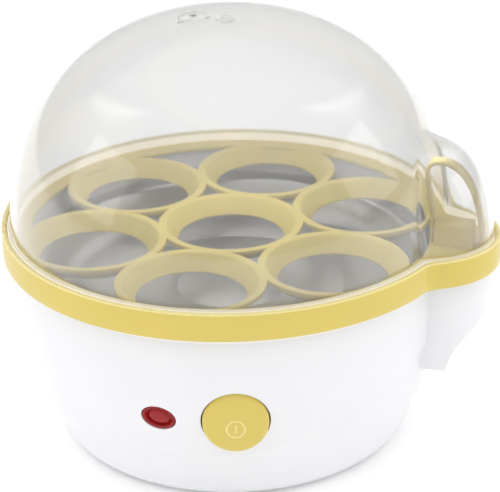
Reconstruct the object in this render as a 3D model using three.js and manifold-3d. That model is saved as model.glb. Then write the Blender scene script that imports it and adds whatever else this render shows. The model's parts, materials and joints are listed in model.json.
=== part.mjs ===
// Seven-egg cooker: clear steam lid, egg tray with a lifting loop, and an electric base.
// Millimetres. +Z up, the rubber feet stand on z = 0, the power button faces -Y,
// and the side ear points towards +X, turned EAR_TURN degrees towards the front.
// Ear-symmetric pieces are built with the ear along +X and then turned.
import * as THREE from 'three';
import { mergeVertices } from 'three/addons/utils/BufferGeometryUtils.js';
import Module from 'manifold-3d';

const wasm = await Module();
wasm.setup();
const { Manifold, Mesh } = wasm;

// ---------------------------------------------------------------- dimensions
const EAR_TURN = -16.2;            // degrees about +Z
const RIM_R = 80;                  // tray rim, outer radius
const EAR_C = 69.0;                // ear centre, distance from the bowl axis
const EAR_R = 26.0;                // tray lobe, outer radius
const RIM_WALL = 1.7;
const RIM_Z = [69.5, 79.5];        // tray rim, bottom and top
const FLOOR_Z = [74.4, 76.0];      // tray floor plate
const SEAT_PITCH = 49;             // seven seats: one in the middle, six round it
const SEAT_RING_R = 25.4;          // outer edge of each seat ring
const SEAT_TOP_R = 22.5;           // seat opening at the floor
const SEAT_HOLE_R = 18.6;          // seat opening at the bottom of its cup
const CUP_FOOT = 70.2;               // lower edge of each seat cup
const WEB_R = 70.5;                // inner edge of the flange round the floor

const DOME_A = 77, DOME_H = 77.7, DOME_N = 2.32, DOME_Z0 = 73.5, DOME_WALL = 1.6;
const DOME_FOOT = 76.3;            // lower edge of the lid
const EARD_A = 23.6, EARD_H = 34.5, EARD_N = 2.2, EARD_Z0 = 79;
const BEAD_D = -2.0, BEAD_TOP = 79.0; // bead round the lid's foot, inside the tray rim
const STRAP_T = 1.6, STRAP_W = 4.8;   // lifting loop
const VENT_AT = -11.4, VENT_BOSS_R = 4.75, VENT_R = 1.2;

const BASE_OUT = [[60, 1.5], [62, 3.2], [64.6, 9.5], [67.6, 16.5], [70, 25.5], [72.8, 37.5],
  [74.9, 51.5], [75.7, 61.5], [75.9, 69.0]];
const BASE_IN = [[72.3, 60.0], [72.3, 51.5], [70.3, 37.5], [65.1, 16.5], [59.7, 4.6], [57.6, 4.3], [57.6, 1.5]];
const NECK = [[74.6, 69.5], [74.6, 74.1], [72.6, 74.1], [72.6, 62.0], [67.0, 62.0], [67.0, 60.0]];

const GRIP_HALF = 18.0, GRIP_C = 73.9, GRIP_R = 18.1, GRIP_TOP = 69.0, GRIP_WALL = 2.2, GRIP_GAP = 0.3;
const GRIP_UNDER = [[79.5, 34.7], [80.5, 38], [81.8, 41.1], [83.8, 43.7], [86, 46.1], [88, 48.5],
  [90.2, 51.4], [92.4, 54]];

const BUTTON_Z = 36.3, BUTTON_Y = -73.4, BUTTON_R = 11.1, BUTTON_GAP = 0.5, BUTTON_TRAVEL = 3.0;
const COLLAR_R = 13.1, COLLAR_END = -59.0;
const LENS_AT = [-25.7, -67.9, 35.7], LENS_TURN = -20.7, LENS_TILT = 12, LENS_A = 5.9, LENS_B = 4.6;

const INLET_R = 8.5, INLET_Y = [61.5, 70.2], INLET_Z = 17, INLET_HOLE = 4.9, CORD_R = 3.3;

const COVER_R = 57.2, COVER_Z = [2.2, 4.0];
const FOOT_AT = 48, FOOT_R = 7, FOOT_H = 1.9;
const BOSS_AT = 50, BOSS_R = 4, BOSS_Z = [4.3, 18];

const SHIFT_X = -(EAR_C * Math.cos(EAR_TURN * Math.PI / 180) + EAR_R - RIM_R) / 2; // centres the box on the origin

const DEG = Math.PI / 180;
const COL = {
  yellow: [0xe3ce6c, 0.42, 0], white: [0xf2f2f4, 0.35, 0], clear: [0xe6e8e8, 0.15, 0], red: [0xa52d28, 0.3, 0],
  dish: [0xbdbcb9, 0.34, 1], steel: [0xb4b6b8, 0.35, 1], brass: [0xc9a860, 0.35, 1], rubber: [0x2a2a2c, 0.85, 0],
  silicone: [0xcfd2d4, 0.7, 0], black: [0x232325, 0.6, 0], grey: [0x8b8d90, 0.6, 0], ceramic: [0xe8e3d8, 0.8, 0],
  brown: [0x6a4326, 0.6, 0], blue: [0x2e5fa8, 0.6, 0], glass: [0xf0c9a0, 0.1, 0],
};

// ---------------------------------------------------------------- helpers
function clean(g) {
  for (const k of Object.keys(g.attributes)) if (k !== 'position') g.deleteAttribute(k);
  const m = mergeVertices(g, 1e-4);
  const src = m.index.array, out = [];
  for (let i = 0; i < src.length; i += 3) {
    const [a, b, c] = [src[i], src[i + 1], src[i + 2]];
    if (a !== b && b !== c && c !== a) out.push(a, b, c);
  }
  const p = m.attributes.position.array;
  let v = 0;
  for (let i = 0; i < out.length; i += 3) {
    const [a, b, c] = [3 * out[i], 3 * out[i + 1], 3 * out[i + 2]];
    v += p[a] * (p[b + 1] * p[c + 2] - p[b + 2] * p[c + 1]) - p[a + 1] * (p[b] * p[c + 2] - p[b + 2] * p[c])
      + p[a + 2] * (p[b] * p[c + 1] - p[b + 1] * p[c]);
  }
  if (v < 0) for (let i = 0; i < out.length; i += 3) [out[i + 1], out[i + 2]] = [out[i + 2], out[i + 1]];
  m.setIndex(out);
  return m;
}
function solid(g) {
  const m = clean(g);
  return new Manifold(new Mesh({ numProp: 3, vertProperties: new Float32Array(m.attributes.position.array), triVerts: new Uint32Array(m.index.array) }));
}
function geometry(s) {
  const m = s.getMesh(), g = new THREE.BufferGeometry();
  g.setAttribute('position', new THREE.BufferAttribute(new Float32Array(m.vertProperties), 3));
  g.setIndex(new THREE.BufferAttribute(new Uint32Array(m.triVerts), 1));
  return g;
}
// closed [radius, height] outline revolved about Z; an open one runs from the axis to the axis
function lathe(pts, seg) {
  const p = pts.map(([r, z]) => new THREE.Vector2(r, z));
  if (!(pts[0][0] === 0 && pts[pts.length - 1][0] === 0)) p.push(p[0].clone());
  return new THREE.LatheGeometry(p, seg).rotateX(Math.PI / 2);
}
// flat outline in XY pulled up from z0 to z1
function prism(pts, z0, z1) {
  const s = new THREE.Shape(pts.map(([x, y]) => new THREE.Vector2(x, y)));
  return new THREE.ExtrudeGeometry(s, { depth: z1 - z0, bevelEnabled: false, steps: 1 }).translate(0, 0, z0);
}
// flat outline in XZ, half-width w to each side of Y = 0
function slab(pts, w) {
  return prism(pts.map(([x, z]) => [x, z]), -w, w).rotateX(Math.PI / 2);
}
function circle(r, seg, cx = 0, cy = 0) {
  return Array.from({ length: seg }, (_, i) => [cx + r * Math.cos(2 * Math.PI * i / seg), cy + r * Math.sin(2 * Math.PI * i / seg)]);
}
function box(x0, x1, y0, y1, z0, z1) {
  return new THREE.BoxGeometry(x1 - x0, y1 - y0, z1 - z0).translate((x0 + x1) / 2, (y0 + y1) / 2, (z0 + z1) / 2);
}
function tube(points, r, steps, sides) {
  const path = new THREE.CatmullRomCurve3(points.map((p) => new THREE.Vector3(...p)));
  const s = new THREE.Shape(circle(r, sides).map(([x, y]) => new THREE.Vector2(x, y)));
  return new THREE.ExtrudeGeometry(s, { extrudePath: path, steps, bevelEnabled: false });
}
// the rim's outline: a circle with one round lobe, grown by d
function plan(d, n = 48) {
  const R = RIM_R + d, r = EAR_R + d, c = EAR_C;
  const along = (R * R - r * r + c * c) / (2 * c), side = Math.sqrt(R * R - along * along);
  const a0 = Math.atan2(side, along), b0 = Math.atan2(side, along - c);
  const pts = [], m = Math.round(n * (2 * Math.PI - 2 * a0) / (2 * Math.PI)), k = 12;
  for (let i = 0; i < m; i++) { const t = a0 + (2 * Math.PI - 2 * a0) * i / m; pts.push([R * Math.cos(t), R * Math.sin(t)]); }
  for (let i = 0; i < k; i++) { const t = -b0 + 2 * b0 * i / k; pts.push([c + r * Math.cos(t), r * Math.sin(t)]); }
  return pts;
}
function sup(a, h, n, z0, z) { return a * Math.pow(Math.max(0, 1 - Math.pow(Math.max(0, z - z0) / h, n)), 1 / n); }
// domed solid of revolution down to zb, closed on the axis
function bell(a, h, n, z0, zb, rows, seg) {
  const pts = [[0, zb], [sup(a, h, n, z0, zb), zb]];
  for (let i = 1; i < rows; i++) {
    const t = Math.PI / 2 * i / rows, z = z0 + h * Math.pow(Math.sin(t), 2 / n);
    if (z > zb + 1) pts.push([a * Math.pow(Math.cos(t), 2 / n), z]);
  }
  pts.push([0, z0 + h]);
  return solid(lathe(pts, seg));
}
const nodes = [];
function add(name, shape, look, turn = 0) {
  const g = shape instanceof THREE.BufferGeometry ? clean(shape) : geometry(shape);
  if (turn) g.rotateZ(turn * DEG);
  nodes.push([name, g, look]);
}
const seats = [[0, 0]];
for (let i = 0; i < 6; i++) seats.push([SEAT_PITCH * Math.cos((30 + 60 * i) * DEG), SEAT_PITCH * Math.sin((30 + 60 * i) * DEG)]);

// ---------------------------------------------------------------- lid
{
  const outer = bell(DOME_A, DOME_H, DOME_N, DOME_Z0, DOME_FOOT, 8, 44)
    .add(bell(EARD_A, EARD_H, EARD_N, EARD_Z0, DOME_FOOT, 6, 24).translate([EAR_C, 0, 0]))
    .add(solid(prism(plan(BEAD_D), DOME_FOOT, BEAD_TOP)))
    .add(solid(prism(circle(VENT_BOSS_R, 12, VENT_AT, 0), 149.5, 151.4)))
    .add(solid(prism(circle(1.7, 8), 150.0, 151.6)));
  const w = DOME_WALL;
  const inner = bell(DOME_A - w, DOME_H - w, DOME_N, DOME_Z0, DOME_FOOT - 2, 7, 44)
    .add(bell(EARD_A - w, EARD_H - w, EARD_N, EARD_Z0, DOME_FOOT - 2, 5, 24).translate([EAR_C, 0, 0]));
  const vent = solid(prism(circle(VENT_R, 8, VENT_AT, 0), 140, 155));
  add('lid_dome', outer.subtract(inner).subtract(vent), COL.clear, EAR_TURN);
}

// ---------------------------------------------------------------- egg tray
{
  const [z0, z1] = RIM_Z, [f0, f1] = FLOOR_Z;
  let tray = solid(prism(plan(0), z0, z1))
    .subtract(solid(prism(plan(-RIM_WALL), f1, z1 + 1)))
    .subtract(solid(prism(plan(-RIM_WALL), z0 - 1, f0)));
  let windows = solid(prism(circle(WEB_R, 48), f0 - 1, f1 + 1));
  for (const [x, y] of seats) windows = windows.subtract(solid(prism(circle(SEAT_RING_R, 20, x, y), f0 - 2, f1 + 2)));
  tray = tray.subtract(windows);
  for (const [x, y] of seats) tray = tray.subtract(solid(prism(circle(SEAT_TOP_R + 0.6, 18, x, y), f0 - 1, f1 + 1)));
  const cup = solid(lathe([[SEAT_TOP_R, f1 - 0.1], [SEAT_HOLE_R, CUP_FOOT + 0.5], [SEAT_HOLE_R + 1.5, CUP_FOOT],
    [SEAT_TOP_R + 1.1, f0 + 0.2], [SEAT_TOP_R + 1.1, f1 - 0.1]], 18));
  for (const [x, y] of seats) tray = tray.add(cup.translate([x, y, 0]));
  tray = tray.add(solid(box(73.0, 83.6, -4, 4, f0 + 0.5, 84.0)));      // root block under the lifting loop
  add('egg_tray', tray, COL.yellow, EAR_TURN);
}
{ // lifting loop: a flat strap bent over the tray's lobe
  const mid = [[71.4, 76.3], [71.4, 85], [70.3, 93], [69.3, 99], [69.4, 102.2], [70.8, 104.5], [73.4, 105.5], [76.7, 105.2],
    [80.2, 103.4], [83.1, 100.2], [85.4, 95.8], [87.1, 90.4], [88.2, 84.8], [88.8, 80.5], [89.0, 76.3]];
  const off = (d) => mid.map(([x, z], i) => {
    const p = mid[Math.max(0, i - 1)], q = mid[Math.min(mid.length - 1, i + 1)];
    const l = Math.hypot(q[0] - p[0], q[1] - p[1]);
    return i === 0 || i === mid.length - 1 ? [x + (i === 0 ? -d : d), z] : [x - d * (q[1] - p[1]) / l, z + d * (q[0] - p[0]) / l];
  });
  add('tray_handle', slab([...off(STRAP_T / 2), ...off(-STRAP_T / 2).reverse()], STRAP_W / 2), COL.yellow, EAR_TURN);
}

// ---------------------------------------------------------------- base housing
{
  const seg = 38;
  let body = solid(lathe([...BASE_OUT, ...NECK, ...BASE_IN], seg).rotateZ(EAR_TURN * DEG));
  // grip under the ear: a U-shaped scoop against the wall, open at its top
  const u = (d) => [[55, -GRIP_HALF + d], ...Array.from({ length: 11 }, (_, i) => {
    const t = (-90 + 180 * i / 10) * DEG; return [GRIP_C + (GRIP_R - d) * Math.cos(t), (GRIP_R - d) * Math.sin(t)];
  }), [55, GRIP_HALF - d]];
  const side = (d) => [[55, GRIP_UNDER[0][1] + d], ...GRIP_UNDER.map(([x, z]) => [x - 0.6 * d, z + d]), [96, 54 + d], [96, 90], [55, 90]];
  const grip = solid(prism(u(0), 20, GRIP_TOP)).intersect(solid(slab(side(0), 30)));
  const hollow = solid(prism(u(GRIP_WALL), 20, GRIP_TOP + 5)).intersect(solid(slab(side(GRIP_WALL), 30)));
  const outside = solid(lathe([[0, 0], ...BASE_OUT.map(([r, z]) => [r + GRIP_GAP, z]), [75.9 + GRIP_GAP, 72], [0, 72]], seg));
  add('ear_grip', grip.subtract(hollow).subtract(outside), COL.white, EAR_TURN);
  // button guide
  const tubeY = (r, y0, y1, n) => solid(prism(circle(r, n), -y1, -y0).rotateX(Math.PI / 2).translate(0, 0, BUTTON_Z));
  const shell = solid(lathe([[0, 1], ...BASE_OUT.map(([r, z]) => [r - 0.9, z]), [0, 69]], seg).rotateZ(EAR_TURN * DEG));
  body = body.add(tubeY(COLLAR_R, -78, COLLAR_END, 24).intersect(shell));
  body = body.subtract(tubeY(BUTTON_R + BUTTON_GAP, -80, COLLAR_END + 5, 24));
  // indicator opening
  const lensFrame = frameAt();
  body = body.subtract(solid(prism(circle(1, 20).map(([x, y]) => [x * (LENS_A + 0.3), y * (LENS_B + 0.3)]), -9, 9).applyMatrix4(lensFrame)));
  // cord inlet at the back: a flat boss with a hole through it
  body = body.add(solid(prism(circle(INLET_R, 16), INLET_Y[0], INLET_Y[1]).rotateX(-Math.PI / 2).translate(0, 0, INLET_Z)));
  body = body.subtract(solid(prism(circle(INLET_HOLE, 12), 50, 90).rotateX(-Math.PI / 2).translate(0, 0, INLET_Z)));
  // screw bosses with a rib to the wall
  for (let i = 0; i < 4; i++) {
    const a = (45 + 90 * i);
    let boss = solid(prism(circle(BOSS_R, 12, BOSS_AT, 0), BOSS_Z[0], BOSS_Z[1]))
      .add(solid(slab([[51, 6], [60.4, 6], [62.9, 9.5], [66.0, 17], [51, 17]], 1)))
      .subtract(solid(prism(circle(1.65, 8, BOSS_AT, 0), BOSS_Z[0] - 1, 14)));
    body = body.add(boss.rotate([0, 0, a]));
  }
  add('base_housing', body, COL.white);
}
function frameAt() {
  const th = LENS_TURN * DEG, dl = LENS_TILT * DEG;
  const p = new THREE.Vector3(Math.sin(th), -Math.cos(th), 0), t1 = new THREE.Vector3(Math.cos(th), Math.sin(th), 0);
  const t2 = p.clone().multiplyScalar(Math.sin(dl)).add(new THREE.Vector3(0, 0, Math.cos(dl)));
  return new THREE.Matrix4().makeBasis(t1, t2, t1.clone().cross(t2)).setPosition(...LENS_AT);
}

// ---------------------------------------------------------------- heating parts
add('heating_dish', lathe([[0, 50.4], [55.6, 51.0], [60.6, 52.8], [63.9, 57.3], [65.9, 62.8], [67.0, 63.6], [72.2, 63.6],
  [72.2, 64.8], [66.8, 64.8], [64.6, 63.6], [62.5, 58.0], [59.5, 54.0], [55.0, 52.6], [0, 52.0]], 32), COL.dish);
add('dish_seal', lathe([[68.6, 62.3], [72.2, 62.3], [72.2, 63.3], [68.6, 63.3]], 32), COL.silicone);
{
  const pts = [];
  const R = 38, z = 47.1;
  pts.push([R * Math.cos(112 * DEG), R * Math.sin(112 * DEG), z - 9], [R * Math.cos(113 * DEG), R * Math.sin(113 * DEG), z - 4]);
  for (let i = 0; i <= 12; i++) { const t = (120 + 300 * i / 12) * DEG; pts.push([R * Math.cos(t), R * Math.sin(t), z]); }
  pts.push([R * Math.cos(67 * DEG), R * Math.sin(67 * DEG), z - 4], [R * Math.cos(68 * DEG), R * Math.sin(68 * DEG), z - 9]);
  add('heating_element', tube(pts, 3.2, 34, 6), COL.steel);
}
add('thermostat', lathe([[0, 41], [5.5, 41], [5.5, 45], [9, 45], [9, 46.2], [8, 46.2], [8, 50.1], [0, 50.1]], 20).translate(0, 20, 0), COL.black);
add('thermal_fuse', new THREE.CylinderGeometry(2, 2, 12, 12).rotateZ(Math.PI / 2).translate(0, -20, 47.9), COL.brass);
add('dish_stud', prism(circle(2, 10), 27, 50.1), COL.steel);
{
  const bar = [[-70.2, 59.7], [-70.2, 58.1], [-68.7, 58.1], [-50.7, 34.5], [50.7, 34.5], [68.7, 58.1], [70.2, 58.1], [70.2, 59.7],
    [67.2, 59.7], [49.9, 36.1], [-49.9, 36.1], [-67.2, 59.7]];
  add('clamp_strap', solid(slab(bar, 6)).subtract(solid(prism(circle(2.4, 12), 20, 50))).rotate([0, 0, 20]), COL.steel);
}
add('strap_nut', solid(prism(circle(4.1, 6), 31.0, 34.2)).subtract(solid(prism(circle(2.3, 10), 20, 50))), COL.brass);

// ---------------------------------------------------------------- power button and switch
const alongY = (g) => g.rotateX(-Math.PI / 2);                            // +Z becomes +Y
const yLathe = (pts, seg) => alongY(lathe(pts, seg)).translate(0, 0, BUTTON_Z);
{
  const y = BUTTON_Y;
  let cap = solid(yLathe([[0, y - 0.5], [5, y - 0.4], [9, y - 0.05], [10.5, y + 0.3], [BUTTON_R, y + 1.0], [BUTTON_R, y + 10], [BUTTON_R - 1.5, y + 10], [BUTTON_R - 1.5, y + 2.4], [0, y + 2.4]], 28));
  add('power_button', cap, COL.yellow);
  add('button_stem', yLathe([[0, y + 2.7], [5.6, y + 2.7], [5.6, y + 4.4], [2.4, y + 4.4], [2.4, -54.7], [0, -54.7]], 14), COL.grey);
  const turns = 4, n = 40, ya = y + 5.0, yb = -58.6 - 0.4, pts = [];
  for (let i = 0; i <= n; i++) { const t = turns * 2 * Math.PI * i / n; pts.push([4.3 * Math.cos(t), ya + (yb - ya) * i / n, BUTTON_Z + 4.3 * Math.sin(t)]); }
  add('button_spring', tube(pts, 0.45, 40, 4), COL.steel);
}
add('switch_plate', solid(prism(circle(COLLAR_R - 0.1, 24), -1, 1).rotateX(Math.PI / 2).scale(1, 0.75, 1).translate(0, -57.65, BUTTON_Z))
  .subtract(solid(prism(circle(3.0, 12), -4, 4).rotateX(Math.PI / 2).translate(0, -57.65, BUTTON_Z))), COL.grey);
add('switch_body', solid(box(-7.5, 7.5, -51.2, -38, BUTTON_Z - 6.5, BUTTON_Z + 6.5)).add(solid(box(-7.5, -5.5, -56.6, -50, BUTTON_Z - 5, BUTTON_Z + 5)))
  .add(solid(box(5.5, 7.5, -56.6, -50, BUTTON_Z - 5, BUTTON_Z + 5))), COL.black);

// ---------------------------------------------------------------- indicator
{
  const m = frameAt();
  const oval = (k, d = 0) => circle(1, 20).map(([x, y]) => [x * (LENS_A * k - d), y * (LENS_B * k - d)]);
  const rows = [[0, -3.2, 1.14], [0, -2.6, 1.14]];
  const lens = solid(prism(oval(1), -4.0, -0.9)).add(solid(prism(oval(0.84), -2, -0.35)));
  add('indicator_lens', geometry(lens).applyMatrix4(m), COL.red);
  add('indicator_lamp', lathe([[0, -12.5], [2.4, -12.5], [2.4, -6], [1.6, -4.9], [0, -4.4]], 12).applyMatrix4(m), COL.glass);
  add('lamp_holder', geometry(solid(box(-5, 5, -4.5, 4.5, -15, -7)).subtract(solid(prism(circle(2.8, 12), -13, 0)))).applyMatrix4(m), COL.white);
}

// ---------------------------------------------------------------- wiring and cord inlet
add('terminal_block', box(-12, 12, 40, 51, 5, 16), COL.ceramic);
add('cord_grommet', alongY(lathe([[CORD_R, 59.4], [6.8, 59.4], [6.8, 60.9], [4.4, 61.2], [4.4, 70.5], [7.2, 70.5], [6.6, 72.4], [CORD_R, 73.4]], 14)).translate(0, 0, INLET_Z), COL.black);
add('lead_live', tube([[-6, 39.6, 11], [-6, 35, 11], [-13, 22, 14], [-15, 0, 17], [-11, -20, 26], [-4, -33, 34.6], [-4, -37.6, 35]], 1.1, 18, 5), COL.brown);
add('lead_neutral', tube([[6, 39.6, 11], [6, 35.5, 11], [11, 31, 17], [14.2, 33.4, 28], [14.2, 35.2, 37.6]], 1.1, 16, 5), COL.blue);
add('lead_switch', tube([[4, -37.6, 35], [4, -33, 34.6], [11, -20, 26], [12, 0, 22], [5, 16, 27], [0, 20, 35], [0, 20, 40.7]], 1.1, 18, 5), COL.brown);

// ---------------------------------------------------------------- underside
{
  let cover = solid(prism(circle(COVER_R, 40), COVER_Z[0], COVER_Z[1]));
  for (let i = 0; i < 4; i++) {
    const a = (45 + 90 * i) * DEG;
    cover = cover.subtract(solid(prism(circle(1.9, 10, BOSS_AT * Math.cos(a), BOSS_AT * Math.sin(a)), 0, 6)));
  }
  add('bottom_cover', cover, COL.white);
  for (let i = 0; i < 4; i++) {
    const a = (45 + 90 * i) * DEG, b = 90 * i * DEG;
    add(`cover_screw_${i + 1}`, lathe([[0, 0.8], [2.3, 0.8], [3.0, 1.3], [3.0, 1.9], [1.5, 1.9], [1.5, 12], [0, 12.6]], 10)
      .translate(BOSS_AT * Math.cos(a), BOSS_AT * Math.sin(a), 0), COL.steel);
    add(`rubber_foot_${i + 1}`, lathe([[0, 0], [FOOT_R - 0.8, 0], [FOOT_R, 0.6], [FOOT_R, FOOT_H], [0, FOOT_H]], 16)
      .translate(FOOT_AT * Math.cos(b), FOOT_AT * Math.sin(b), 0), COL.rubber);
  }
}

const cooker = new THREE.Group();
for (const [name, g, [color, roughness, metalness]] of nodes) {
  g.translate(SHIFT_X, 0, 0);
  const flat = g.index ? g.toNonIndexed() : g;
  flat.computeVertexNormals();
  const mesh = new THREE.Mesh(flat, new THREE.MeshStandardMaterial({ color, roughness, metalness }));
  mesh.name = name;
  cooker.add(mesh);
}
export default cooker;
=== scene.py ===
import bpy
import bmesh
import json
import math
import numpy as np
from math import sin, cos, pi, radians, sqrt
from mathutils import Matrix, Vector


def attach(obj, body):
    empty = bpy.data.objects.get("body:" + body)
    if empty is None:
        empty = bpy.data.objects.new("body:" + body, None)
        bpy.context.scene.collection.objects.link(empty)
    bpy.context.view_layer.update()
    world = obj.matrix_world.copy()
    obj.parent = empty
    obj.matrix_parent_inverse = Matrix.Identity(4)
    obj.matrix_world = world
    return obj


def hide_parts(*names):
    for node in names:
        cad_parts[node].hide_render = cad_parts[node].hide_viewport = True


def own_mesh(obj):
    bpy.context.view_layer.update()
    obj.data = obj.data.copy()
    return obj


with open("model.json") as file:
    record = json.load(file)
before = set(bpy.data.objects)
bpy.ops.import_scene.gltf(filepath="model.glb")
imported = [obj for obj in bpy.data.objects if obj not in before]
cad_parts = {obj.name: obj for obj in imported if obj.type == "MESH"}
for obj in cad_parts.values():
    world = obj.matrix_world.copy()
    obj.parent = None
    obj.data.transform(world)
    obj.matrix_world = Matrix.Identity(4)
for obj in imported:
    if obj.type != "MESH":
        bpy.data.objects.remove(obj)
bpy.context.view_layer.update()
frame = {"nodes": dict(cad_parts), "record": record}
record = frame["record"]
nodes = frame["nodes"]

# ------------------------------------------------------------------ sizes, in millimetres
TURN = -16.2
RIM_R, EAR_C, EAR_R = 80.0, 69.0, 26.0
SH = -(EAR_C * cos(radians(TURN)) + EAR_R - RIM_R) / 2
MM = 0.001
PLACE = Matrix.Translation((SH, 0, 0))
EAR = PLACE @ Matrix.Rotation(radians(TURN), 4, "Z")
SCENE = bpy.context.scene


# ------------------------------------------------------------------ mesh helpers
def new_object(name, verts, faces, T=PLACE):
    me = bpy.data.meshes.new(name)
    v = np.asarray(verts, float)
    R = np.array(T.to_3x3())
    t = np.array(T.translation)
    v = (v @ R.T + t) * MM
    me.from_pydata([tuple(p) for p in v], [], faces)
    me.validate()
    me.update()
    ob = bpy.data.objects.new(name, me)
    SCENE.collection.objects.link(ob)
    return ob


def fix_normals(ob):
    bm = bmesh.new()
    bm.from_mesh(ob.data)
    bmesh.ops.remove_doubles(bm, verts=bm.verts, dist=1e-7)
    bmesh.ops.recalc_face_normals(bm, faces=bm.faces)
    if bm.calc_volume(signed=True) < 0:
        bmesh.ops.reverse_faces(bm, faces=bm.faces)
    bm.to_mesh(ob.data)
    bm.free()
    ob.data.update()
    return ob


def smooth(ob, angle=32):
    ob.data.shade_smooth()
    ob.data.set_sharp_from_angle(angle=radians(angle))
    return ob


def bake(ob):
    dg = bpy.context.evaluated_depsgraph_get()
    me = bpy.data.meshes.new_from_object(ob.evaluated_get(dg), depsgraph=dg)
    ob.modifiers.clear()
    old = ob.data
    ob.data = me
    bpy.data.meshes.remove(old)
    me.name = ob.name
    return ob


def boolean(ob, others, op, solver="MANIFOLD"):
    for o in others if isinstance(others, (list, tuple)) else [others]:
        m = ob.modifiers.new("b", "BOOLEAN")
        m.operation = op
        m.solver = solver
        m.object = o
        bake(ob)
        me = o.data
        bpy.data.objects.remove(o)
        bpy.data.meshes.remove(me)
    return ob


def bevel(ob, width, segments=2, angle=30):
    m = ob.modifiers.new("bevel", "BEVEL")
    m.width = width * MM
    m.segments = segments
    m.limit_method = "ANGLE"
    m.angle_limit = radians(angle)
    m.use_clamp_overlap = True
    return bake(ob)


def grid_faces(rows, cols, close_rows=False, close_cols=True):
    f = []
    for i in range(rows if close_rows else rows - 1):
        for j in range(cols if close_cols else cols - 1):
            a, b = i * cols + j, i * cols + (j + 1) % cols
            c, d = ((i + 1) % rows) * cols + (j + 1) % cols, ((i + 1) % rows) * cols + j
            f.append((a, b, c, d))
    return f


def lathe(name, pts, seg=96, T=PLACE, at=(0, 0, 0), axis="Z"):
    """Revolves a [radius, height] outline. One that starts and ends on the axis is capped there; any other closes on itself."""
    closed = not (pts[0][0] == 0 and pts[-1][0] == 0)
    v, f, ring = [], [], []
    for r, z in pts:
        if r == 0:
            ring.append([len(v)] * seg)
            v.append((0, 0, z))
        else:
            ring.append(list(range(len(v), len(v) + seg)))
            v += [(r * cos(2 * pi * k / seg), r * sin(2 * pi * k / seg), z) for k in range(seg)]
    n = len(pts)
    for i in range(n if closed else n - 1):
        a, b = ring[i], ring[(i + 1) % n]
        for k in range(seg):
            q = [a[k], a[(k + 1) % seg], b[(k + 1) % seg], b[k]]
            q = [x for m, x in enumerate(q) if x not in q[:m]]
            if len(q) > 2:
                f.append(tuple(q))
    if axis == "Y":
        v = [(x, z, -y) for x, y, z in v]
    v = [(x + at[0], y + at[1], z + at[2]) for x, y, z in v]
    return fix_normals(new_object(name, v, f, T))


def prism(name, outline, z0, z1, T=PLACE, flip=None):
    """Pulls an outline up. flip='XZ' stands it up, so that the pull is along Y."""
    n = len(outline)
    v = [(x, y, z0) for x, y in outline] + [(x, y, z1) for x, y in outline]
    f = [tuple(range(n))[::-1], tuple(range(n, 2 * n))] + [(i, (i + 1) % n, n + (i + 1) % n, n + i) for i in range(n)]
    if flip == "XZ":
        v = [(x, -z, y) for x, y, z in v]
    return fix_normals(new_object(name, v, f, T))


def circle(r, n, cx=0.0, cy=0.0):
    return [(cx + r * cos(2 * pi * i / n), cy + r * sin(2 * pi * i / n)) for i in range(n)]


def box(name, x0, x1, y0, y1, z0, z1, T=PLACE):
    return prism(name, [(x0, y0), (x1, y0), (x1, y1), (x0, y1)], z0, z1, T)


def sweep(name, path, section, T=PLACE, up=None, caps=True):
    """Moves a flat outline along a path; section points are (across, out), and up fixes the across direction."""
    P = np.asarray(path, float)
    n, k = len(P), len(section)
    tang = np.gradient(P, axis=0)
    tang /= np.linalg.norm(tang, axis=1)[:, None]
    v = []
    s = None
    for i in range(n):
        if up is not None:
            s = np.asarray(up, float)
        elif s is None:
            s = np.cross(tang[i], (0, 0, 1.0))
            if np.linalg.norm(s) < 1e-3:
                s = np.cross(tang[i], (1.0, 0, 0))
        s = s - tang[i] * (s @ tang[i])
        s /= np.linalg.norm(s)
        o = np.cross(s, tang[i])
        v += [tuple(P[i] + a * s + b * o) for a, b in section]
    f = grid_faces(n, k)
    if caps:
        f += [tuple(range(k))[::-1], tuple(range((n - 1) * k, n * k))]
    return fix_normals(new_object(name, v, f, T))


def catmull(pts, per=8):
    P = np.asarray(pts, float)
    P = np.vstack([2 * P[0] - P[1], P, 2 * P[-1] - P[-2]])
    out = []
    for i in range(1, len(P) - 2):
        for k in range(per):
            t = k / per
            a, b, c, d = P[i - 1:i + 3]
            out.append(0.5 * (2 * b + (c - a) * t + (2 * a - 5 * b + 4 * c - d) * t * t + (3 * b - a - 3 * c + d) * t ** 3))
    out.append(P[-2])
    return np.array(out)


def curve_r(pts, z):
    """Smooth radius at height z through [radius, height] points."""
    r, h = np.array([p[0] for p in pts]), np.array([p[1] for p in pts])
    m = np.gradient(r, h)
    z = np.clip(z, h[0], h[-1])
    i = np.clip(np.searchsorted(h, z, side="right") - 1, 0, len(h) - 2)
    w = h[i + 1] - h[i]
    t = (z - h[i]) / w
    return ((2 * t ** 3 - 3 * t ** 2 + 1) * r[i] + (t ** 3 - 2 * t ** 2 + t) * w * m[i] + (-2 * t ** 3 + 3 * t ** 2) * r[i + 1] + (t ** 3 - t ** 2) * w * m[i + 1])


# ------------------------------------------------------------------ materials
def srgb(r, g, b):
    return tuple(((c / 255) / 12.92 if c / 255 <= 0.04045 else ((c / 255 + 0.055) / 1.055) ** 2.4) for c in (r, g, b)) + (1.0,)


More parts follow.
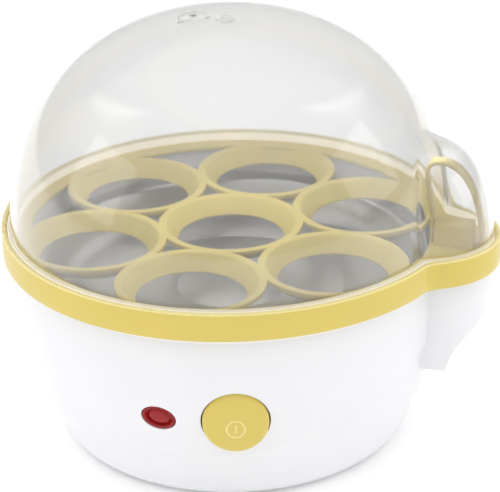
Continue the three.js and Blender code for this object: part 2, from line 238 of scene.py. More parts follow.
def material(name, color, rough, metallic=0.0, var=0.03, scale=60, rough_var=0.06, bump=0.03, bump_scale=900, wave=0.0, stretch=None, **kw):
    m = bpy.data.materials.new(name)
    m.use_nodes = True
    nt = m.node_tree
    N, L = nt.nodes, nt.links
    b = N["Principled BSDF"]
    tc = N.new("ShaderNodeTexCoord")
    src = tc.outputs["Object"]
    if stretch:
        mp = N.new("ShaderNodeMapping")
        mp.inputs["Scale"].default_value = stretch
        L.new(src, mp.inputs["Vector"])
        src = mp.outputs["Vector"]
    n1 = N.new("ShaderNodeTexNoise")
    n1.inputs["Scale"].default_value = scale
    n1.inputs["Detail"].default_value = 4
    L.new(src, n1.inputs["Vector"])
    ramp = N.new("ShaderNodeValToRGB")
    lo = tuple(max(0, c * (1 - var)) for c in color[:3]) + (1,)
    hi = tuple(min(1, c * (1 + var)) for c in color[:3]) + (1,)
    ramp.color_ramp.elements[0].position, ramp.color_ramp.elements[1].position = 0.3, 0.7
    ramp.color_ramp.elements[0].color, ramp.color_ramp.elements[1].color = lo, hi
    L.new(n1.outputs["Fac"], ramp.inputs["Fac"])
    L.new(ramp.outputs["Color"], b.inputs["Base Color"])
    n2 = N.new("ShaderNodeTexNoise")
    n2.inputs["Scale"].default_value = scale * 2.3
    n2.inputs["Detail"].default_value = 6
    L.new(src, n2.inputs["Vector"])
    mr = N.new("ShaderNodeMapRange")
    mr.inputs["To Min"].default_value = max(0.0, rough - rough_var)
    mr.inputs["To Max"].default_value = min(1.0, rough + rough_var)
    L.new(n2.outputs["Fac"], mr.inputs["Value"])
    L.new(mr.outputs["Result"], b.inputs["Roughness"])
    if bump:
        n3 = N.new("ShaderNodeTexNoise")
        n3.inputs["Scale"].default_value = bump_scale
        n3.inputs["Detail"].default_value = 3
        L.new(src, n3.inputs["Vector"])
        bp = N.new("ShaderNodeBump")
        bp.inputs["Strength"].default_value = bump
        bp.inputs["Distance"].default_value = 0.0004
        L.new(n3.outputs["Fac"], bp.inputs["Height"])
        L.new(bp.outputs["Normal"], b.inputs["Normal"])
    b.inputs["Metallic"].default_value = metallic
    for k, v in kw.items():
        b.inputs[k.replace("_", " ")].default_value = v
    return m


YELLOW = material("yellow_plastic", srgb(219, 197, 97), 0.36, var=0.02, scale=45, bump=0.04, bump_scale=1400, Coat_Weight=0.15, Coat_Roughness=0.2)
SYMBOL = material("yellow_symbol", srgb(240, 224, 150), 0.3, var=0.02, scale=90, bump=0.03, bump_scale=1400)
WHITE = material("white_plastic", srgb(238, 238, 241), 0.34, var=0.012, scale=40, bump=0.03, bump_scale=1300, Coat_Weight=0.2, Coat_Roughness=0.15)
INNER_WHITE = material("white_plastic_inner", srgb(236, 236, 238), 0.5, var=0.02, scale=50, bump=0.06, bump_scale=1100)
RED = material("red_lens", srgb(166, 24, 28), 0.2, var=0.14, scale=160, bump=0.03, bump_scale=600, Transmission_Weight=0.2, IOR=1.49, Specular_IOR_Level=0.32)
DISH = material("satin_dish", srgb(192, 190, 186), 0.36, metallic=1.0, var=0.05, scale=260, rough_var=0.1, bump=0.1, bump_scale=900, stretch=(1, 1, 1))
SILICONE = material("pale_silicone", srgb(214, 217, 218), 0.6, var=0.03, bump=0.08)
STEEL = material("plated_steel", srgb(186, 188, 190), 0.3, metallic=1.0, var=0.06, scale=90, rough_var=0.1, bump=0.08, bump_scale=700, stretch=(1, 14, 14))
SHEATH = material("element_sheath", srgb(122, 116, 110), 0.45, metallic=0.9, var=0.2, scale=120, rough_var=0.14, bump=0.12, bump_scale=700)
BRASS = material("brass", srgb(201, 168, 96), 0.3, metallic=1.0, var=0.07, scale=110, rough_var=0.1, bump=0.06)
RUBBER = material("black_rubber", srgb(38, 38, 40), 0.75, var=0.12, scale=220, bump=0.2, bump_scale=1500)
BLACK = material("black_plastic", srgb(34, 34, 36), 0.5, var=0.1, scale=150, bump=0.1, bump_scale=1100)
GREY = material("grey_plastic", srgb(140, 142, 145), 0.5, var=0.05, scale=120, bump=0.08)
CERAMIC = material("ceramic", srgb(232, 227, 216), 0.8, var=0.05, scale=260, bump=0.2, bump_scale=900)
BROWN = material("brown_insulation", srgb(108, 66, 40), 0.55, var=0.08, scale=200, bump=0.1)
BLUE = material("blue_insulation", srgb(52, 98, 164), 0.55, var=0.08, scale=200, bump=0.1)
LAMP = material("lamp_glass", srgb(246, 220, 196), 0.08, var=0.05, scale=200, bump=0.0, Transmission_Weight=0.9, IOR=1.45)
CLEAR = material("clear_lid", (0.908, 0.912, 0.916, 1), 0.045, var=0.006, scale=25, rough_var=0.02, bump=0.008, bump_scale=120, Transmission_Weight=0.93, IOR=1.47, Coat_Weight=1.0, Coat_Roughness=0.16, Coat_IOR=1.48)


# the lid's frosted foot, with a painted glow: a faint cream emission keeps the band along the rim light where shade
# would fall
FOOT_FROST_AND_GLOW = material("clear_lid_foot_frost_and_glow", (0.95, 0.93, 0.86, 1), 0.22, var=0.01, scale=40, bump=0.02, bump_scale=400, Transmission_Weight=0.3, IOR=1.49, Emission_Color=(1.0, 0.93, 0.76, 1), Emission_Strength=0.22)
BOSS_CLEAR = material("clear_lid_boss", (0.96, 0.96, 0.955, 1), 0.25, var=0.01, scale=60, bump=0.02, bump_scale=500, Transmission_Weight=0.55, IOR=1.3)
# painted highlight: a brighter white for the housing's lip just under the tray rim, standing in for light under the
# rim's overhang
WHITE_PAINTED_HIGHLIGHT = material("white_painted_highlight", srgb(252, 252, 252), 0.3, var=0.004, scale=40, bump=0.03, bump_scale=1300, Coat_Weight=0.2, Coat_Roughness=0.15)
# painted highlight: a lighter yellow along the top edge of the tray rim, where light catches it
YELLOW_PAINTED_HIGHLIGHT = material("yellow_painted_highlight", srgb(238, 222, 150), 0.28, var=0.02, scale=45, bump=0.04, bump_scale=1400, Coat_Weight=0.3, Coat_Roughness=0.15)


def second_material(ob, mat, test):
    """Gives the faces whose middle (in mm, in the row frame) passes the test another material."""
    ob.data.materials.append(mat)
    slot = len(ob.data.materials) - 1
    for p in ob.data.polygons:
        if test(*(c / MM for c in p.center)):
            p.material_index = slot


def finish_piece(ob, body, mat, slot, *replaced, angle=32, flat=False):
    ob.data.materials.clear()
    ob.data.materials.append(mat)
    for p in ob.data.polygons:
        p.material_index = 0
    smooth(ob, angle)
    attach(ob, body)
    if replaced:
        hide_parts(*[n for n in replaced if n in nodes])
    return ob


# ------------------------------------------------------------------ camera
e, roll = radians(24.524), radians(1.4277)
cam_data = bpy.data.cameras.new("camera")
cam = bpy.data.objects.new("camera", cam_data)
SCENE.collection.objects.link(cam)
SCENE.camera = cam
cx, cy, f_px, W, H = 231.02, 233.05, 2277.9, 500, 492
D = 800.0
right = Vector((cos(roll), -sin(roll) * sin(e), -sin(roll) * cos(e)))
up = Vector((sin(roll), cos(roll) * sin(e), cos(roll) * cos(e)))
back = Vector((0, -cos(e), sin(e)))
m = Matrix.Identity(4)
for i, col in enumerate((right, up, back)):
    for k in range(3):
        m[k][i] = col[k]
m.translation = Vector((SH, -D * cos(e), 71.5 + D * sin(e))) * MM
cam.matrix_world = m
cam_data.sensor_width = 36
cam_data.lens = f_px * 36 / W
cam_data.shift_x = (W / 2 - cx) / W
cam_data.shift_y = -(H / 2 - cy) / W
cam_data.clip_start = 0.01


# ------------------------------------------------------------------ lid
def dome_points(a, h, n, z0, ea, eh, en, ez0, k, phis, els, zc=78.0):
    ph, el = np.meshgrid(phis, els)
    d = np.stack([np.cos(ph) * np.cos(el), np.sin(ph) * np.cos(el), np.sin(el)], -1)
    lo, hi = np.full(ph.shape, 20.0), np.full(ph.shape, 125.0)

    def field(t):
        p = d * t[..., None]
        z = p[..., 2] + zc
        r = np.hypot(p[..., 0], p[..., 1])
        f1 = ((r / a) ** n + (np.maximum(z - z0, 0) / h) ** n) ** (1 / n) * a - a
        r2 = np.hypot(p[..., 0] - EAR_C, p[..., 1])
        f2 = ((r2 / ea) ** en + (np.maximum(z - ez0, 0) / eh) ** en) ** (1 / en) * ea - ea
        s = np.clip(0.5 + 0.5 * (f2 - f1) / k, 0, 1)
        return f2 * (1 - s) + f1 * s - k * s * (1 - s)

    for _ in range(46):
        mid = (lo + hi) / 2
        inside = field(mid) < 0
        lo, hi = np.where(inside, mid, lo), np.where(inside, hi, mid)
    p = d * hi[..., None]
    p[..., 2] += zc
    return p


def rho(t, d, k=5.0):
    a = np.full_like(t, RIM_R + d)
    r = EAR_R + d
    q = r * r - (EAR_C * np.sin(t)) ** 2
    ok = (q > 0) & (np.cos(t) > 0)
    b = np.where(ok, EAR_C * np.cos(t) + np.sqrt(np.maximum(q, 0)), EAR_C * 0.5)
    h = np.clip(0.5 + 0.5 * (a - b) / k, 0, 1)
    return b * (1 - h) + a * h + k * h * (1 - h)


phis = np.radians(np.concatenate([np.arange(-27, 27, 0.9), np.arange(27, 333, 3.0)]))
els = np.radians(np.concatenate([np.arange(0, 36, 1.0), np.arange(36, 89, 2.4)]))
outer = dome_points(77.0, 77.7, 2.32, 73.5, 23.6, 34.5, 2.2, 79.0, 2.0, phis, els)
inner = dome_points(75.4, 76.1, 2.32, 73.5, 22.0, 32.9, 2.2, 79.0, 2.8, phis, els)
nc = len(phis)
FOOT = 76.3


def polar(r, z):
    return np.stack([r * np.cos(phis), r * np.sin(phis), np.full_like(r, z)], -1)


# the foot: a bead that fills the gap to the tray's rim, then back in under the wall
ro = np.hypot(outer[0][:, 0], outer[0][:, 1])
ri = np.hypot(inner[0][:, 0], inner[0][:, 1])
bead = np.maximum(rho(phis, -2.0), ro + 0.1)
rows = [polar(ro + 0.02, 79.12), polar(ro + 0.55 * (bead - ro), 79.0), polar(bead - 0.12, 78.9), polar(bead, 78.65), polar(bead, 76.65), polar(bead - 0.1, 76.4), polar(bead - 0.35, FOOT),
        polar(ri + 0.35, FOOT), polar(ri + 0.1, 76.4), polar(ri, 76.65), polar(ri, 77.4)]
v = []
for r in outer[:0:-1]:
    v += [tuple(p) for p in r]
for r in rows:
    v += [tuple(p) for p in r]
for r in inner:
    v += [tuple(p) for p in r]
nrows = 2 * len(els) - 1 + len(rows)
f = grid_faces(nrows, nc)
top_o, top_i = len(v), len(v) + 1
v += [(0, 0, 151.2), (0, 0, 149.6)]
f += [(top_o, (j + 1) % nc, j) for j in range(nc)]
last = (nrows - 1) * nc
f += [(last + j, last + (j + 1) % nc, top_i) for j in range(nc)]
lid = fix_normals(new_object("lid_visual", v, f, EAR))
boss = lathe("boss", [(0, 149.9), (5.4, 149.9), (5.3, 150.5), (4.9, 150.85), (4.4, 151.15), (3.7, 151.33), (2.6, 151.4), (1.9, 151.36), (1.5, 151.2), (0, 151.2)], 48, EAR, (-11.4, 0, 0))
nub = lathe("nub", [(0, 150.2), (2.2, 150.2), (2.1, 151.1), (1.7, 151.35), (1.2, 151.52), (0.6, 151.6), (0, 151.6)], 32, EAR)
boolean(lid, [boss, nub], "UNION")
boolean(lid, lathe("vent", [(0, 145), (1.2, 145), (1.2, 155), (0, 155)], 32, EAR, (-11.4, 0, 0)), "DIFFERENCE")
finish_piece(lid, "lid", CLEAR, "clear_lid", "lid_dome", angle=40)
# the foot below 79.05 mm gets the frosted material with the painted glow
second_material(lid, FOOT_FROST_AND_GLOW, lambda x, y, z: z < 79.05)
boss_at = EAR @ Vector((-11.4, 0, 0))
second_material(lid, BOSS_CLEAR, lambda x, y, z: z > 149 and (math.hypot(x - boss_at.x, y - boss_at.y) < 5.2 or math.hypot(x - SH, y) < 2.15))


# ------------------------------------------------------------------ egg tray
ts = np.radians(np.concatenate([np.arange(-24, 24, 0.8), np.arange(24, 336, 2.0)]))
prof = [(-0.55, 69.5), (-0.16, 69.62), (0, 70.0), (0, 74.0), (0, 78.8), (-0.14, 79.3), (-0.5, 79.5), (-1.15, 79.5), (-1.55, 79.32), (-1.7, 78.9),
        (-1.7, 76.6), (-1.85, 76.2), (-2.3, 76.0)]
v = []
for d, z in prof:
    r = rho(ts, d)
    v += [(r[i] * cos(ts[i]), r[i] * sin(ts[i]), z) for i in range(len(ts))]
WEB = 70.5
for r, z in ((WEB + 0.4, 76.0), (WEB, 75.7), (WEB, 74.7), (WEB + 0.4, 74.4)):
    v += [(r * cos(t), r * sin(t), z) for t in ts]
for d, z in ((-2.2, 74.4), (-1.7, 74.0), (-1.7, 70.0), (-1.5, 69.62), (-1.1, 69.5)):
    r = rho(ts, d)
    v += [(r[i] * cos(ts[i]), r[i] * sin(ts[i]), z) for i in range(len(ts))]
tray = fix_normals(new_object("tray_visual", v, grid_faces(len(prof) + 9, len(ts), close_rows=True), EAR))
cup = [(25.2, 74.38), (25.4, 74.6), (25.4, 75.75), (25.2, 76.02), (23.1, 76.02), (22.6, 75.8), (22.2, 75.3), (18.8, 71.0), (18.55, 70.6), (18.6, 70.3), (18.9, 70.2),
       (19.7, 70.2), (20.0, 70.35), (23.3, 74.2), (23.6, 74.38)]
seats = [(0, 0)] + [(49 * cos(radians(30 + 60 * i)), 49 * sin(radians(30 + 60 * i))) for i in range(6)]
boolean(tray, [lathe("cup", cup, 72, EAR, (x, y, 0)) for x, y in seats], "UNION")
block = box("block", 72.6, 86.0, -4, 4, 74.9, 84.0, EAR)
bevel(block, 0.7, 3)
boolean(tray, block, "UNION")
finish_piece(tray, "tray", YELLOW, "yellow_plastic", "egg_tray", angle=36)
# the top edge of the tray rim gets the painted highlight yellow
second_material(tray, YELLOW_PAINTED_HIGHLIGHT, lambda x, y, z: 79.0 < z < 79.6 and math.hypot(x - SH, y) > 74)

mid = [[71.4, 76.3], [71.4, 85], [70.3, 93], [69.3, 99], [69.4, 102.2], [70.8, 104.5], [73.4, 105.5], [76.7, 105.2],
       [80.2, 103.4], [83.1, 100.2], [85.4, 95.8], [87.1, 90.4], [88.2, 84.8], [88.8, 80.5], [89.0, 76.3]]
path = catmull([(x, 0, z) for x, z in mid], 6)
w, t, c = 2.4, 0.8, 0.45
sec = [(w, -t + c), (w, t - c), (w - 0.18, t - 0.18), (w - c, t), (-w + c, t), (-w + 0.18, t - 0.18), (-w, t - c), (-w, -t + c), (-w + 0.18, -t + 0.18), (-w + c, -t), (w - c, -t), (w - 0.18, -t + 0.18)]
loop = sweep("handle_visual", path, sec, EAR, up=(0, 1, 0))
finish_piece(loop, "tray", YELLOW, "yellow_plastic", "tray_handle", angle=50)


# ------------------------------------------------------------------ base housing
OUT = [(59.4, 1.5), (61.2, 3.2), (64.0, 9.5), (67.0, 16.5), (69.7, 25.5), (72.7, 37.5), (74.9, 51.5), (75.7, 61.5), (75.9, 69.0)]
th = np.radians(np.arange(0, 360, 1.25))                      # direction in the row frame, 0 along +X
front = np.arctan2(np.sin(th + pi / 2), np.cos(th + pi / 2))   # 0 at the front, positive towards +X
crease = np.clip(49.1 - 29.6 * np.cos(front + radians(15)), 18, 60)
# the crease sinks into the wall again well round the side
fade = np.clip((radians(100) - np.abs(front + radians(2))) / radians(28), 0, 1)
fade = fade * fade * (3 - 2 * fade)


def ring_out(z, drop):
    r = curve_r(OUT, z) - drop
    return [(r[i] * cos(th[i]), r[i] * sin(th[i]), z[i]) for i in range(len(th))]


v = []
full = np.ones_like(th)
v += ring_out(1.5 * full, 0.9 * full)
v += ring_out(1.62 * full, 0.35 * full)
nrow = 2
STEP = 0.75
for s in np.linspace(0.02, 1, 16) ** 0.9:
    z = 1.9 + (crease - 0.9 - 1.9) * s
    v += ring_out(z, STEP * fade * (0.35 + 0.65 * s)); nrow += 1
for dz, q in ((-0.62, 0.93), (-0.35, 0.66), (-0.1, 0.3), (0.18, 0.06), (0.5, -0.05), (1.1, -0.03)):
    v += ring_out(crease + dz, STEP * fade * q); nrow += 1
for s in np.linspace(0.05, 1, 22):
    z = crease + 1.1 + (66.9 - crease - 1.1) * s
    v += ring_out(z, 0 * full); nrow += 1
for z in (67.75, 68.5):
    v += ring_out(z * full, 0 * full); nrow += 1
for r, z in ((75.75, 68.85), (75.4, 69.05), (75.0, 69.1), (74.7, 69.3), (74.6, 69.7), (74.6, 73.7), (74.45, 74.0), (74.2, 74.1), (73.0, 74.1), (72.75, 74.0), (72.6, 73.7),
             (72.6, 62.3), (72.4, 62.0), (67.3, 62.0), (67.0, 61.7), (67.0, 60.3), (67.3, 60.0), (72.1, 60.0), (72.3, 59.6), (72.3, 51.5), (70.3, 37.5), (67.4, 25.5), (65.1, 16.5),
             (62.1, 9.5), (59.7, 4.6), (57.9, 4.3), (57.6, 4.0), (57.6, 1.8), (57.9, 1.5)):
    v += [(r * cos(t), r * sin(t), z) for t in th]; nrow += 1
housing = fix_normals(new_object("housing_visual", v, grid_faces(nrow, len(th), close_rows=True)))

# grip under the ear
half, gc, gr = 18.0, 73.9, 18.1


def u_plan(d, n=40):
    return [(55, -half + d)] + [(gc + (gr - d) * cos(radians(-90 + 180 * i / n)), (gr - d) * sin(radians(-90 + 180 * i / n))) for i in range(n + 1)] + [(55, half - d)]


UNDER = [(78.9, 32.2), (80.0, 36.0), (81.6, 39.6), (83.7, 42.9), (86, 45.8), (88, 48.4), (90.2, 51.4), (92.4, 54)]


def side_plan(d):
    p = catmull([(x, z, 0) for x, z in UNDER], 4)
    return [(55, 32.2 + d)] + [(q[0] - 0.6 * d, q[1] + d) for q in p] + [(96, 54 + d), (96, 90), (55, 90)]


grip = prism("grip", u_plan(0), 20, 69.0, EAR)
boolean(grip, prism("grip_side", side_plan(0), -30, 30, EAR, "XZ"), "INTERSECT")
bevel(grip, 0.8, 3, 28)
hollow = prism("hollow", u_plan(2.2), 20, 74, EAR)
boolean(hollow, prism("hollow_side", side_plan(2.2), -30, 30, EAR, "XZ"), "INTERSECT")
bowl_fill = lathe("bowl_fill", [(0, 0)] + [(curve_r(OUT, z) - 1.2, z) for z in np.linspace(1.5, 69, 30)] + [(74.7, 72), (0, 72)], 144)
for ob in (grip, hollow):   # both narrow towards the bottom
    back_to_ear = EAR.inverted()
    for vert in ob.data.vertices:
        q = back_to_ear @ (vert.co / MM)
        q.y *= 1 - 0.36 * min(max((69.0 - q.z) / 34.3, 0), 1)
        vert.co = (EAR @ q) * MM
    ob.data.update()
boolean(grip, [hollow, bowl_fill], "DIFFERENCE")
boolean(housing, grip, "UNION")

# button guide, indicator and cord openings
BZ = 36.3


def y_cyl(name, r, y0, y1, n=72, x=0.0, z=BZ, T=PLACE):
    return lathe(name, [(0, y0), (r, y0), (r, y1), (0, y1)], n, T, (x, 0, z), "Y")


guide = y_cyl("guide", 13.1, -78, -59)
shell = lathe("shell", [(0, 1)] + [(curve_r(OUT, z) - 1.0, z) for z in np.linspace(1.5, 69, 30)] + [(0, 69)], 144)
boolean(guide, shell, "INTERSECT")
boolean(housing, guide, "UNION")
boolean(housing, y_cyl("hole", 11.6, -80, -54), "DIFFERENCE")


def lens_frame():
    a, d = radians(-20.7), radians(12)
    p = Vector((sin(a), -cos(a), 0))
    t1 = Vector((cos(a), sin(a), 0))
    t2 = p * sin(d) + Vector((0, 0, cos(d)))
    mt = Matrix.Identity(4)
    for i, col in enumerate((t1, t2, t1.cross(t2))):
        for k in range(3):
            mt[k][i] = col[k]
    mt.translation = Vector((-25.7, -67.9, 35.7))
    return PLACE @ mt


LF = lens_frame()
boolean(housing, prism("lens_hole", [(6.2 * x, 4.9 * y) for x, y in circle(1, 64)], -9, 9, LF), "DIFFERENCE")
boolean(housing, y_cyl("inlet", 8.5, 61.5, 70.2, 64, z=17), "UNION")
boolean(housing, y_cyl("inlet_hole", 4.9, 50, 90, 48, z=17), "DIFFERENCE")
for i in range(4):
    a = radians(45 + 90 * i)
    b = lathe("boss", [(0, 4.3), (4, 4.3), (4, 18), (0, 18)], 32, PLACE, (50 * cos(a), 50 * sin(a), 0))
    rib = prism("rib", [(51, 6), (60.4, 6), (62.9, 9.5), (66.0, 17), (51, 17)], -1, 1, PLACE @ Matrix.Rotation(a, 4, "Z"), "XZ")
    hole = lathe("bh", [(0, 3), (1.65, 3), (1.65, 14), (0, 14)], 20, PLACE, (50 * cos(a), 50 * sin(a), 0))
    boolean(b, rib, "UNION")
    boolean(b, hole, "DIFFERENCE")
    boolean(housing, b, "UNION")
finish_piece(housing, "base", WHITE, "white_plastic", "base_housing", "ear_grip", angle=24)
# the lip just under the tray rim gets the painted highlight white
second_material(housing, WHITE_PAINTED_HIGHLIGHT, lambda x, y, z: 66.95 < z < 69.08 and 75 < math.hypot(x - SH, y) < 76.2)

# ------------------------------------------------------------------ heating dish and seal
dish = lathe("dish_visual", [(0, 50.4), (55.6, 51.0), (58.6, 51.6), (60.8, 52.9), (62.3, 54.6), (63.9, 57.6), (65.9, 62.6), (66.4, 63.3), (67.3, 63.6), (71.9, 63.6), (72.2, 63.9), (72.2, 64.5),
                             (71.9, 64.8), (67.2, 64.8), (65.7, 64.5), (64.8, 63.6), (62.6, 58.2), (61.2, 55.7), (59.6, 54.1), (57.6, 53.1), (55.0, 52.6), (40.5, 52.45), (40, 52.2), (39, 52.2), (38.5, 52.4),
                             (20.5, 52.2), (20, 51.95), (19, 51.95), (18.5, 52.15), (0, 52.0)], 128)
finish_piece(dish, "base", DISH, "dish_steel", "heating_dish", angle=40)
seal = lathe("seal_visual", [(68.6, 62.5), (68.8, 62.3), (72.0, 62.3), (72.2, 62.5), (72.2, 63.1), (72.0, 63.3), (68.8, 63.3), (68.6, 63.1)], 96)
finish_piece(seal, "base", SILICONE, "silicone_rubber", "dish_seal")

# ------------------------------------------------------------------ button
BY = -73.4
btn = lathe("button_visual", [(0, BY - 0.5), (3, BY - 0.48), (6, BY - 0.38), (8.5, BY - 0.18), (9.8, BY + 0.03), (10.5, BY + 0.28), (10.95, BY + 0.68), (11.1, BY + 1.2), (11.1, BY + 10), (9.6, BY + 10), (9.6, BY + 2.4), (0, BY + 2.4)], 112, PLACE, (0, 0, BZ), "Y")
finish_piece(btn, "button", YELLOW, "yellow_plastic", "power_button", angle=40)
# on/off mark: a ring and a bar, in low relief
SZ = BZ - 2.1
ring_path = [(3.0 * cos(a), BY - 0.46, SZ + 3.0 * sin(a)) for a in np.linspace(0, 2 * pi, 73)]
ringsec = [(0.32 * cos(a), 0.2 * sin(a)) for a in np.linspace(0, 2 * pi, 9)[:-1]]
v = []
for q in np.linspace(0, 2 * pi, 72, endpoint=False):
    v += [((3.0 + a) * cos(q), BY - 0.43 + b, SZ + (3.0 + a) * sin(q)) for a, b in ringsec]
mark = fix_normals(new_object("button_mark_ring", v, grid_faces(72, 8, close_rows=True)))
finish_piece(mark, "button", SYMBOL, "yellow_plastic", angle=60)
bar = box("button_mark_bar", -0.32, 0.32, BY - 0.6, BY - 0.3, SZ - 1.6, SZ + 1.6)
bevel(bar, 0.12, 3)
finish_piece(bar, "button", SYMBOL, "yellow_plastic", angle=60)
stem = lathe("stem_visual", [(0, BY + 2.7), (5.3, BY + 2.7), (5.6, BY + 3.0), (5.6, BY + 4.1), (5.3, BY + 4.4), (2.6, BY + 4.4), (2.4, BY + 4.7), (2.4, -55.2), (1.9, -54.7), (0, -54.7)], 40, PLACE, (0, 0, BZ), "Y")
finish_piece(stem, "button", GREY, "grey_plastic", "button_stem", angle=40)
ya, yb = BY + 5.0, -59.0
pts = [(4.3 * cos(a), ya + (yb - ya) * a / (8 * pi), BZ + 4.3 * sin(a)) for a in np.linspace(0, 8 * pi, 192)]
spring = sweep("spring_visual", pts, circle(0.45, 10))
finish_piece(spring, "base", STEEL, "spring_steel", "button_spring", angle=60)
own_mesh(spring)

# ------------------------------------------------------------------ indicator lens
rings = [(0, -0.62), (0.2, -0.65), (0.42, -0.78), (0.56, -0.98), (0.64, -1.3), (0.69, -1.62), (0.75, -1.66), (0.79, -1.3), (0.82, -0.8), (0.86, -0.55), (0.92, -0.48), (0.97, -0.56), (1.0, -0.8), (1.0, -4.0)]
seg = 72
v, f = [(0, 0, rings[0][1])], []
for k, z in rings[1:]:
    v += [(5.9 * k * x, 4.6 * k * y, z) for x, y in circle(1, seg)]
f += [(0, 1 + j, 1 + (j + 1) % seg) for j in range(seg)]
for i in range(len(rings) - 2):
    for j in range(seg):
        a, b = 1 + i * seg + j, 1 + i * seg + (j + 1) % seg
        f.append((a, a + seg, b + seg, b))
f.append(tuple(1 + (len(rings) - 2) * seg + j for j in range(seg)))
lens = fix_normals(new_object("lens_visual", v, f, LF))
finish_piece(lens, "base", RED, "red_lens", "indicator_lens", angle=50)

# ------------------------------------------------------------------ underside and cord inlet
cover = lathe("cover_visual", [(0, 2.6), (30, 2.6), (30.6, 2.4), (31, 2.2), (56.6, 2.2), (57.2, 2.6), (57.2, 4.0), (0, 4.0)], 128)
for i in range(4):
    a = radians(45 + 90 * i)
    boolean(cover, lathe("ch", [(0, 0), (1.9, 0), (1.9, 6), (0, 6)], 24, PLACE, (50 * cos(a), 50 * sin(a), 0)), "DIFFERENCE")
for i in range(-3, 4):
    boolean(cover, box("slot", -9, 9, i * 5 - 0.8, i * 5 + 0.8, 0, 6), "DIFFERENCE")
finish_piece(cover, "base", INNER_WHITE, "white_plastic", "bottom_cover", angle=30)
for i in range(4):
    a, b = radians(45 + 90 * i), radians(90 * i)
    foot = lathe(f"foot_visual_{i + 1}", [(0, 0.25), (3.2, 0.25), (3.5, 0), (6.2, 0), (6.8, 0.2), (7, 0.7), (7, 1.9), (0, 1.9)], 48, PLACE, (48 * cos(b), 48 * sin(b), 0))
    finish_piece(foot, "base", RUBBER, "black_rubber", f"rubber_foot_{i + 1}", angle=40)
    sc = lathe(f"screw_visual_{i + 1}", [(0, 0.8), (2.0, 0.8), (2.6, 0.95), (3.0, 1.35), (3.0, 1.9), (1.5, 1.9), (1.5, 12), (0, 12.6)], 32, PLACE, (50 * cos(a), 50 * sin(a), 0))
    boolean(sc, box("x1", 50 * cos(a) - 1.7, 50 * cos(a) + 1.7, 50 * sin(a) - 0.35, 50 * sin(a) + 0.35, 0, 1.5), "DIFFERENCE")
    boolean(sc, box("x2", 50 * cos(a) - 0.35, 50 * cos(a) + 0.35, 50 * sin(a) - 1.7, 50 * sin(a) + 1.7, 0, 1.5), "DIFFERENCE")
    finish_piece(sc, "base", STEEL, "steel", f"cover_screw_{i + 1}", angle=30)
grom = lathe("grommet_visual", [(3.3, 59.6), (3.5, 59.4), (6.5, 59.4), (6.8, 59.7), (6.8, 60.6), (6.5, 60.9), (4.6, 61.0), (4.4, 61.3), (4.4, 70.5), (7.0, 70.5), (7.2, 70.8), (7.0, 71.8), (6.4, 72.4),
                                (4.8, 72.9), (3.7, 73.4), (3.3, 73.2)], 48, PLACE, (0, 0, 17), "Y")
finish_piece(grom, "base", RUBBER, "black_rubber", "cord_grommet", angle=40)

# ------------------------------------------------------------------ finish of the kept CAD pieces
KEEP = {"heating_element": SHEATH, "thermostat": BLACK, "thermal_fuse": BRASS, "dish_stud": STEEL, "clamp_strap": STEEL, "strap_nut": BRASS,
        "switch_plate": GREY, "switch_body": BLACK, "indicator_lamp": LAMP, "lamp_holder": INNER_WHITE, "terminal_block": CERAMIC,
        "lead_live": BROWN, "lead_neutral": BLUE, "lead_switch": BROWN}
for name, mt in KEEP.items():
    o = nodes[name]
    o.data.materials.clear()
    o.data.materials.append(mt)

# ------------------------------------------------------------------ floor and light
FLOOR = material("floor", srgb(250, 250, 250), 0.7, var=0.004, scale=3, bump=0.0, Emission_Color=(1, 1, 1, 1), Emission_Strength=0.12)
me = bpy.data.meshes.new("floor")
me.from_pydata([(-3, -3, 0), (3, -3, 0), (3, 3, 0), (-3, 3, 0)], [], [(0, 1, 2, 3)])
floor = bpy.data.objects.new("floor", me)
SCENE.collection.objects.link(floor)
me.materials.append(FLOOR)

world = bpy.data.worlds.new("studio")
SCENE.world = world
world.use_nodes = True
bg = world.node_tree.nodes["Background"]
bg.inputs["Color"].default_value = (1, 1, 1, 1)
# a studio dome that is brighter overhead and dimmer at the front: strength = LOW + HIGH * height^2 - FRONT * frontness^2
WLOW, WHIGH, WFRONT = 0.77, 0.70, 0.20
wt = world.node_tree
wc = wt.nodes.new("ShaderNodeTexCoord")
wx = wt.nodes.new("ShaderNodeSeparateXYZ")
wt.links.new(wc.outputs["Generated"], wx.inputs["Vector"])
wm = wt.nodes.new("ShaderNodeMath")
wm.operation = "MAXIMUM"
wm.inputs[1].default_value = 0.0
wt.links.new(wx.outputs["Z"], wm.inputs[0])
wp = wt.nodes.new("ShaderNodeMath")
wp.operation = "POWER"
wp.inputs[1].default_value = 2.0
wt.links.new(wm.outputs["Value"], wp.inputs[0])
wa = wt.nodes.new("ShaderNodeMath")
wa.operation = "MULTIPLY_ADD"
wa.inputs[1].default_value, wa.inputs[2].default_value = WHIGH, WLOW
wt.links.new(wp.outputs["Value"], wa.inputs[0])
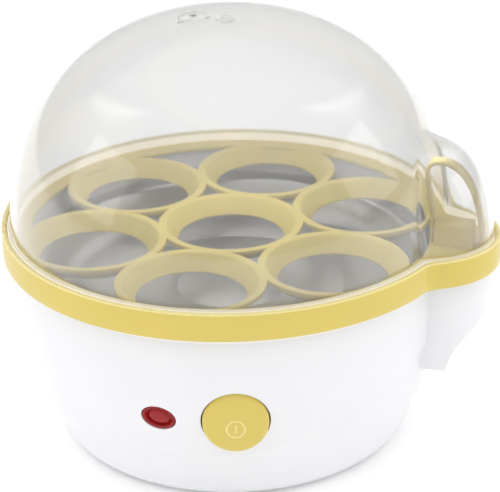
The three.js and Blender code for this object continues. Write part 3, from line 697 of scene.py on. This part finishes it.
wn = wt.nodes.new("ShaderNodeMath")
wn.operation = "MULTIPLY"
wn.inputs[1].default_value = -1.0
wt.links.new(wx.outputs["Y"], wn.inputs[0])
wk = wt.nodes.new("ShaderNodeMath")
wk.operation = "MAXIMUM"
wk.inputs[1].default_value = 0.0
wt.links.new(wn.outputs["Value"], wk.inputs[0])
wq = wt.nodes.new("ShaderNodeMath")
wq.operation = "POWER"
wq.inputs[1].default_value = 2.0
wt.links.new(wk.outputs["Value"], wq.inputs[0])
wf = wt.nodes.new("ShaderNodeMath")
wf.operation = "MULTIPLY_ADD"
wf.inputs[1].default_value = -WFRONT
wt.links.new(wq.outputs["Value"], wf.inputs[0])
wt.links.new(wa.outputs["Value"], wf.inputs[2])
wt.links.new(wf.outputs["Value"], bg.inputs["Strength"])


def area(name, loc, target, size, power, size_y=None):
    d = bpy.data.lights.new(name, "AREA")
    d.energy = power
    d.shape = "RECTANGLE"
    d.size = size
    d.size_y = size_y or size
    o = bpy.data.objects.new(name, d)
    SCENE.collection.objects.link(o)
    o.location = loc
    o.rotation_euler = (Vector(target) - Vector(loc)).to_track_quat("-Z", "Y").to_euler()
    return o


area("key", (-1.1, -0.25, 0.5), (0, 0, 0.06), 0.7, 1.2)
area("fill", (1.1, -0.15, 0.5), (0, 0, 0.05), 0.7, 1.1)
# a soft fill over the tray, as the studio's light that comes in through the clear lid
ear_at = EAR @ Vector((72, 0, 0)) * MM
for ob in (area("inner_fill", (SH * MM, 0, 0.135), (SH * MM, 0, 0.05), 0.09, 0.038),
           area("ear_fill", (ear_at.x, ear_at.y, 0.1105), (ear_at.x, ear_at.y, 0.08), 0.02, 0.0022)):
    ob.visible_camera = False
    ob.visible_glossy = False
    ob.visible_transmission = False
SCENE.cycles.max_bounces = 20
SCENE.cycles.diffuse_bounces = 6
SCENE.cycles.glossy_bounces = 10
SCENE.cycles.transmission_bounces = 20
SCENE.view_settings.view_transform = "Standard"
SCENE.view_settings.look = "None"
SCENE.view_settings.exposure = 0.0
